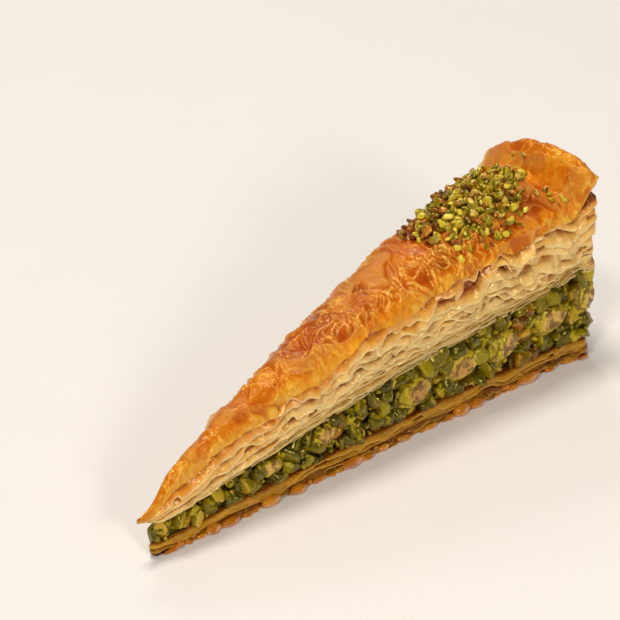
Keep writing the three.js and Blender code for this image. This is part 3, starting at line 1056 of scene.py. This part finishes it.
def heap_radius(x, y):
    """0 in the middle of the heap and 1 at its uneven edge."""
    at = stack_xyz(x, y, 0.0)
    reach = 1.04 + 0.24 * noise(at, 10, 181) + 0.12 * noise(at, 4, 182)
    reach = reach + 0.14 * smooth((118 - x) / 15)
    dx = (x - GARNISH_CENTRE[0]) / GARNISH_HALF[0]
    dy = (y - GARNISH_CENTRE[1]) / GARNISH_HALF[1]
    return np.hypot(dx, dy) / reach


def garnish_core(material):
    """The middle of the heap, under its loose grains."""
    count = 90
    angle = np.linspace(0, 2 * np.pi, count, endpoint=False)
    rings, fresh, tint = [], [], []
    for radius in np.linspace(0, 0.72, 20)[::-1]:
        x = GARNISH_CENTRE[0] + np.cos(angle) * GARNISH_HALF[0] * radius
        half = END_HALF_WIDTH * share(x) * 0.8
        y = np.clip(GARNISH_CENTRE[1] + np.sin(angle) * GARNISH_HALF[1] * radius, -half, half)
        lumps = 0.4 * noise(stack_xyz(x, y, 0.0), 1.8, 191)
        rise = 0.8 * np.maximum(1 - heap_radius(x, y) * 1.3, -0.5)
        rings.append(stack_xyz(x, y, surface_height(x, y) + rise + lumps - 0.1))
        fresh.append(np.full(count, 0.2))
        tint.append(np.full(count, 0.08))
    return piece_of_rings("garnish_core", rings, material, {"fresh": fresh, "tint": tint})


def grain_layer(chance, spacing, reach, lift):
    """Places and sizes of one layer of grains, out to reach of the heap's edge."""
    x, y = np.meshgrid(np.arange(94, 152, spacing), np.arange(-18, 20, spacing))
    x = x.ravel() + chance.uniform(-0.45, 0.45, x.size) * spacing
    y = y.ravel() + chance.uniform(-0.45, 0.45, y.size) * spacing
    radius = heap_radius(x, y)
    across = np.abs(y) / (END_HALF_WIDTH * share(x))
    density = smooth((reach - radius) / (0.35 * reach)) + 0.04 * (radius < 1.5) * (lift == 0)
    keep = (chance.random(len(x)) < density) & (across < 0.95) & (x < 148)
    x, y = x[keep], y[keep]
    size = chance.uniform(1.5, 3.0, len(x))
    height = surface_height(x, y) + lift + 0.3 * size + chance.uniform(-0.1, 0.35, len(x))
    return stack_xyz(x, y, height), size


def garnish_grains(material):
    """Loose chopped grains, three deep in the middle of the heap and scattered at its edge."""
    chance = np.random.default_rng(201)
    layers = [(1.9, 1.05, 0.0), (2.1, 0.8, 1.1), (2.3, 0.55, 2.1)]
    placed = [grain_layer(chance, *layer) for layer in layers]
    centres = np.vstack([places for places, size in placed])
    size = np.concatenate([size for places, size in placed])
    sizes = size[:, None] * chance.uniform([1.0, 0.6, 0.5], [1.4, 0.95, 0.85], (len(size), 3))
    browner = 0.25 * smooth((118 - centres[:, 0]) / 14)
    tints = clamp01(chance.random(len(size)) ** 0.9 + browner)
    lumps = broken_lumps(3, 14, 3, 211)
    return scattered("garnish_grains", centres, sizes, tints, lumps, material, 221)


# ---------------------------------------------------------------- stage


def stage():
    """A plain pale floor and a dim even sky."""
    scene = bpy.context.scene
    scene.view_settings.view_transform = "Standard"
    world = bpy.data.worlds.new("studio")
    world.use_nodes = True
    background = world.node_tree.nodes["Background"]
    background.inputs["Color"].default_value = colour("fffbf6")
    background.inputs["Strength"].default_value = 0.2
    scene.world = world

    paper = Shader("paper", Roughness=0.85, Specular_IOR_Level=0.2)
    grain = paper.ramp(paper.spots(30, 2), [(0.3, "f8f4ef"), (0.7, "f9f5f0")])
    paper.use(Base_Color=grain)
    mesh = bpy.data.meshes.new("floor")
    corners = [(-1, -1), (1, -1), (1, 1), (-1, 1)]
    mesh.from_pydata([(x * FLOOR_REACH, y * FLOOR_REACH, 0) for x, y in corners], [], [(0, 1, 2, 3)])
    mesh.materials.append(paper.material)
    floor = bpy.data.objects.new("floor", mesh)
    scene.collection.objects.link(floor)


def towards_camera():
    flat = math.cos(ELEVATION)
    return Vector(
        (math.sin(AZIMUTH) * flat, -math.cos(AZIMUTH) * flat, math.sin(ELEVATION))
    )


def camera():
    """The photo's view: a long lens, from in front of the tip and to the near side."""
    made = bpy.data.cameras.new("camera")
    made.sensor_width = 36
    made.lens = 18 / math.tan(HALF_VIEW)
    made.clip_start, made.clip_end = 0.01, 20
    holder = bpy.data.objects.new("camera", made)
    back = towards_camera()
    holder.location = Vector(row_points(CAMERA_TARGET)) + back * CAMERA_DISTANCE
    holder.rotation_mode = "QUATERNION"
    holder.rotation_quaternion = (-back).to_track_quat("-Z", "Y")
    bpy.context.scene.collection.objects.link(holder)
    bpy.context.scene.camera = holder


def soft_light(name, right, away, up, size, watts):
    """An area light placed from the slice along the camera's right, away from it, and up."""
    side = Vector((math.cos(AZIMUTH), math.sin(AZIMUTH), 0))
    ahead = Vector((-math.sin(AZIMUTH), math.cos(AZIMUTH), 0))
    lamp = bpy.data.lights.new(name, "AREA")
    lamp.size = size
    lamp.energy = watts
    lamp.color = colour(LAMP_TINT)[:3]
    holder = bpy.data.objects.new(name, lamp)
    middle = (cad_box[0] + cad_box[1]) / 2
    holder.location = middle + side * right + ahead * away + Vector((0, 0, up))
    holder.rotation_mode = "QUATERNION"
    holder.rotation_quaternion = (middle - holder.location).to_track_quat("-Z", "Y")
    bpy.context.scene.collection.objects.link(holder)


def lights():
    """A key from above, softer ones on the near face, and one from behind for the crest."""
    soft_light("key", -0.24, 0.16, 1.4, 0.36, 9.6)
    soft_light("front", -0.25, -0.75, 1.25, 0.2, 4.6)
    soft_light("fill", 0.5, -0.9, 0.55, 0.22, 3.6)
    soft_light("back", -0.2, 1.1, 0.85, 0.3, 2.6)


# ---------------------------------------------------------------- the slice

# ffeaaa is the painted highlight on the hems and f5d48a the colour of the painted highlight specks.
leaf_material = pastry_shader("pastry_leaves", PASTRY, "ffeaaa", "f5d48a")
top_skin = crust(crust_shader())
for piece in (*upper_leaves(leaf_material), top_skin):
    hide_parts("upper_pastry")

# dca844 is the painted highlight on the soaked hems and cc942c the colour of their painted highlight
# specks.
soaked_material = pastry_shader(
    "soaked_leaves", SOAKED, "dca844", "cc942c", Coat_Weight=0.05, Specular_Tint=(1.0, 0.6, 0.1, 1.0)
)
base = lower_leaves(soaked_material)
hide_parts("lower_pastry")
drops = syrup_drops(syrup_shader())

moist = nut_shader("moist_nuts", MOIST_FLESH, MOIST_SKIN, 0.25, 0.05)
for piece in (filling_core(moist), *filling_nuts(moist)):
    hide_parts("pistachio_filling")
whole = kernels(nut_shader("kernel_nuts", KERNEL_FLESH, KERNEL_SKIN, 0.5, 0.1, 0.8))
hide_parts(*kernel_names())

ground = nut_shader("ground_nuts", GROUND_FLESH, GROUND_SKIN, 0.2, 0.05, bare=0.1)
for piece in (garnish_core(ground), garnish_grains(ground)):
    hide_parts("pistachio_garnish")

stage()
lights()
camera()
